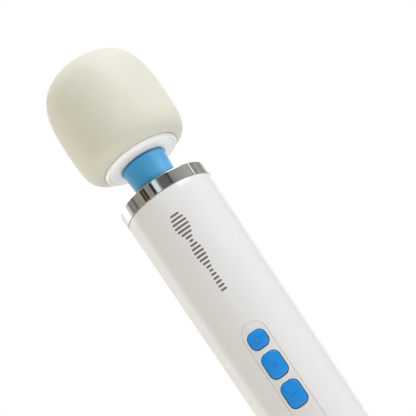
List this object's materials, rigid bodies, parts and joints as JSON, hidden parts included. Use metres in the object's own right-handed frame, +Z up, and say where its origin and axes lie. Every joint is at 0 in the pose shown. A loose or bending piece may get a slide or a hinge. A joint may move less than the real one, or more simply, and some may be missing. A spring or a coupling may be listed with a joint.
{
  "type": "wand massager",
  "caption": "Handheld wand massager: a soft domed head on a flexible neck, over a slim tapered handle with a chrome ring and a strip of push buttons.",
  "frame": {"origin": "centre of the flat base, on the surface that the wand stands on", "axes": "+Z up the wand from the base to the head, -Y out of the control panel, +X to the right of someone who faces the panel"},
  "size_m": [0.0598, 0.0598, 0.33],
  "materials": {
    "casing_white": "glossy white moulded plastic",
    "head_base_white": "high-gloss white moulded plastic",
    "panel_white": "satin white moulded plastic",
    "head_silicone": "soft cream silicone with a matt skin",
    "neck_blue": "satin blue silicone",
    "button_blue": "satin blue moulded plastic",
    "chrome_trim": "bright chrome plating",
    "inner_plastic": "dark glass-filled plastic",
    "electronics_black": "black component plastic",
    "board_green": "green circuit board",
    "motor_steel": "plain rolled steel",
    "spring_steel": "ground steel",
    "screw_steel": "zinc-plated steel",
    "bronze": "sintered bronze",
    "copper": "enamelled copper",
    "ferrite": "dark ferrite and carbon",
    "mount_rubber": "black rubber",
    "lead_red": "red insulation",
    "lead_black": "black insulation"
  },
  "bodies": {
    "handle": {"front_housing": "casing_white", "rear_housing": "casing_white", "end_cap": "casing_white", "top_cap": "casing_white", "chrome_ring": "chrome_trim", "neck_clamp": "inner_plastic", "housing_screw_1": "screw_steel", "housing_screw_2": "screw_steel", "housing_screw_3": "screw_steel", "housing_screw_4": "screw_steel", "control_panel": "panel_white", "switch_power": "electronics_black", "switch_plus": "electronics_black", "switch_minus": "electronics_black", "circuit_board": "board_green", "board_screw_1": "screw_steel", "board_screw_2": "screw_steel", "control_chip": "electronics_black", "smoothing_capacitor": "electronics_black", "dc_jack": "electronics_black", "supply_lead_red": "lead_red", "supply_lead_black": "lead_black", "motor_lead_red": "lead_red", "motor_lead_black": "lead_black", "motor_can": "motor_steel", "motor_end_bell": "inner_plastic", "motor_bushing_front": "bronze", "motor_bushing_rear": "bronze", "motor_magnet_left": "ferrite", "motor_magnet_right": "ferrite", "motor_brush_left": "ferrite", "motor_brush_right": "ferrite", "motor_mount_lower": "mount_rubber", "motor_mount_upper": "mount_rubber"},
    "neck": {"neck_boot": "neck_blue", "neck_spring": "spring_steel"},
    "head": {"head_base": "head_base_white", "head_base_cover": "head_base_white", "weight_housing": "inner_plastic", "head_shell": "inner_plastic", "head_cap": "head_silicone", "head_bearing_lower": "spring_steel", "head_bearing_upper": "spring_steel", "head_screw_1": "screw_steel", "head_screw_2": "screw_steel", "head_screw_3": "screw_steel"},
    "drive": {"motor_shaft": "spring_steel", "rotor_core": "motor_steel", "rotor_winding": "copper", "commutator": "copper", "shaft_coupling": "spring_steel", "flex_shaft": "spring_steel"},
    "weight": {"head_shaft": "spring_steel", "eccentric_weight": "motor_steel"},
    "button_power": {"button_power": "button_blue", "plunger_power": "electronics_black"},
    "button_plus": {"button_plus": "button_blue", "plunger_plus": "electronics_black"},
    "button_minus": {"button_minus": "button_blue", "plunger_minus": "electronics_black"}
  },
  "joints": [
    {"name": "neck_bend_fore_aft", "type": "hinge", "parent": "handle", "child": "neck", "pos_m": [0, 0, 0.2527], "axis": [1, 0, 0], "range_deg": [-10, 10], "stiffness_Nm_per_rad": 8, "deforming": ["neck_boot", "neck_spring", "flex_shaft"]},
    {"name": "neck_bend_sideways", "type": "hinge", "parent": "neck", "child": "head", "pos_m": [0, 0, 0.2622], "axis": [0, 1, 0], "range_deg": [-10, 10], "stiffness_Nm_per_rad": 8, "deforming": ["neck_boot", "neck_spring", "flex_shaft"]},
    {"name": "motor_spin", "type": "hinge", "parent": "handle", "child": "drive", "pos_m": [0, 0, 0.2], "axis": [0, 0, 1], "continuous": true},
    {"name": "weight_spin", "type": "hinge", "parent": "head", "child": "weight", "pos_m": [0, 0, 0.29], "axis": [0, 0, 1], "continuous": true},
    {"name": "power_press", "type": "slide", "parent": "handle", "child": "button_power", "axis": [0, 1, 0], "range_m": [0, 0.0008], "stiffness_N_per_m": 800},
    {"name": "plus_press", "type": "slide", "parent": "handle", "child": "button_plus", "axis": [0, 1, 0], "range_m": [0, 0.0008], "stiffness_N_per_m": 800},
    {"name": "minus_press", "type": "slide", "parent": "handle", "child": "button_minus", "axis": [0, 1, 0], "range_m": [0, 0.0008], "stiffness_N_per_m": 800}
  ],
  "couplings": [
    {"joint": "weight_spin", "follows": "motor_spin", "ratio": 1}
  ]
}
